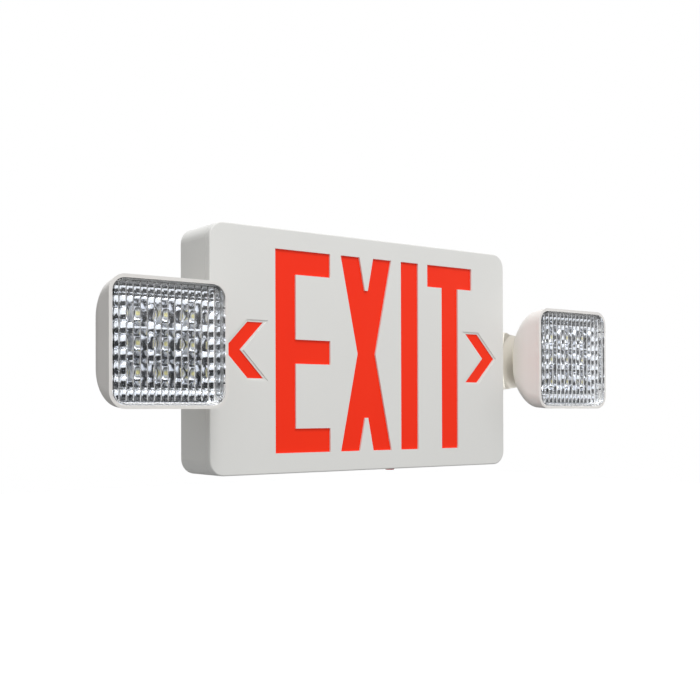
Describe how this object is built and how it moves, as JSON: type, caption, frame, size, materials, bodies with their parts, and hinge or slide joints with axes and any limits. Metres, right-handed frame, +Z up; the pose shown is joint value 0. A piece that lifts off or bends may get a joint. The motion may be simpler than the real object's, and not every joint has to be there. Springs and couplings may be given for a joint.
{
  "type": "emergency exit light",
  "caption": "Wall-mounted exit sign with a red stencil legend, side arrows and a swivelling, tilting emergency lamp head on an arm at each side.",
  "frame": {"origin": "centre of the flat back face that lies on the wall", "axes": "+X to the right along the sign, +Y back into the wall, +Z up; the legend faces -Y"},
  "size_m": [0.4972, 0.0848, 0.1931],
  "materials": {
    "casing_white": "satin",
    "arm_white": "satin",
    "head_white": "satin",
    "legend_red": "gloss",
    "tray_white": "matte",
    "led_yellow": "gloss",
    "board_green": "satin",
    "board_white": "satin",
    "transformer_steel": "satin",
    "can_metal": "satin",
    "terminal_plastic": "satin",
    "battery_sleeve": "satin",
    "plated_steel": "satin",
    "button_red": "gloss",
    "switch_black": "satin",
    "lamp_green": "gloss",
    "clear_lens": "polished",
    "reflector_chrome": "polished"
  },
  "bodies": {
    "root": {"arm_screws": "plated_steel", "back_plate": "casing_white", "battery_pack": "battery_sleeve", "battery_strap": "plated_steel", "board_screws": "plated_steel", "button_spring": "plated_steel", "capacitors": "can_metal", "casing_screws": "plated_steel", "control_board": "board_green", "housing_frame": "casing_white", "led_strip_lower": "board_green", "led_strip_upper": "board_green", "left_arm": "arm_white", "legend_diffuser": "legend_red", "light_tray": "tray_white", "right_arm": "arm_white", "status_lamp": "lamp_green", "stencil_face": "casing_white", "strap_screws": "plated_steel", "strip_leds": "led_yellow", "switch_board": "board_green", "terminal_block": "terminal_plastic", "test_switch": "switch_black", "transformer": "transformer_steel"},
    "left_swivel": {"left_clamp_washer": "plated_steel", "left_swivel_bolt": "plated_steel", "left_swivel_cup": "arm_white", "left_swivel_nut": "plated_steel", "left_swivel_spring": "plated_steel", "left_swivel_washer": "plated_steel"},
    "left_head": {"left_head_leds": "led_yellow", "left_head_screws": "plated_steel", "left_head_shell": "head_white", "left_led_board": "board_white", "left_lens": "clear_lens", "left_reflector": "reflector_chrome"},
    "right_swivel": {"right_clamp_washer": "plated_steel", "right_swivel_bolt": "plated_steel", "right_swivel_cup": "arm_white", "right_swivel_nut": "plated_steel", "right_swivel_spring": "plated_steel", "right_swivel_washer": "plated_steel"},
    "right_head": {"right_head_leds": "led_yellow", "right_head_screws": "plated_steel", "right_head_shell": "head_white", "right_led_board": "board_white", "right_lens": "clear_lens", "right_reflector": "reflector_chrome"},
    "test_button": {"test_button": "button_red"}
  },
  "joints": [
    {"name": "left_swivel_turn", "type": "hinge", "parent": "root", "child": "left_swivel", "pos_m": [-0.2036, -0.06865, 0], "axis": [0, 1, 0], "range_deg": [-175, 175]},
    {"name": "left_head_tilt", "type": "hinge", "parent": "left_swivel", "child": "left_head", "pos_m": [-0.2036, -0.06865, 0], "axis": [1, 0, 0], "range_deg": [-30, 30]},
    {"name": "right_swivel_turn", "type": "hinge", "parent": "root", "child": "right_swivel", "pos_m": [0.2036, -0.06865, 0], "axis": [0, 1, 0], "range_deg": [-175, 175]},
    {"name": "right_head_tilt", "type": "hinge", "parent": "right_swivel", "child": "right_head", "pos_m": [0.2036, -0.06865, 0], "axis": [1, 0, 0], "range_deg": [-30, 30]},
    {"name": "test_button_press", "type": "slide", "parent": "root", "child": "test_button", "axis": [0, 0, 1], "range_m": [0, 0.002], "stiffness_N_per_m": 400, "springref_m": -0.002, "deforming": ["button_spring"]}
  ]
}
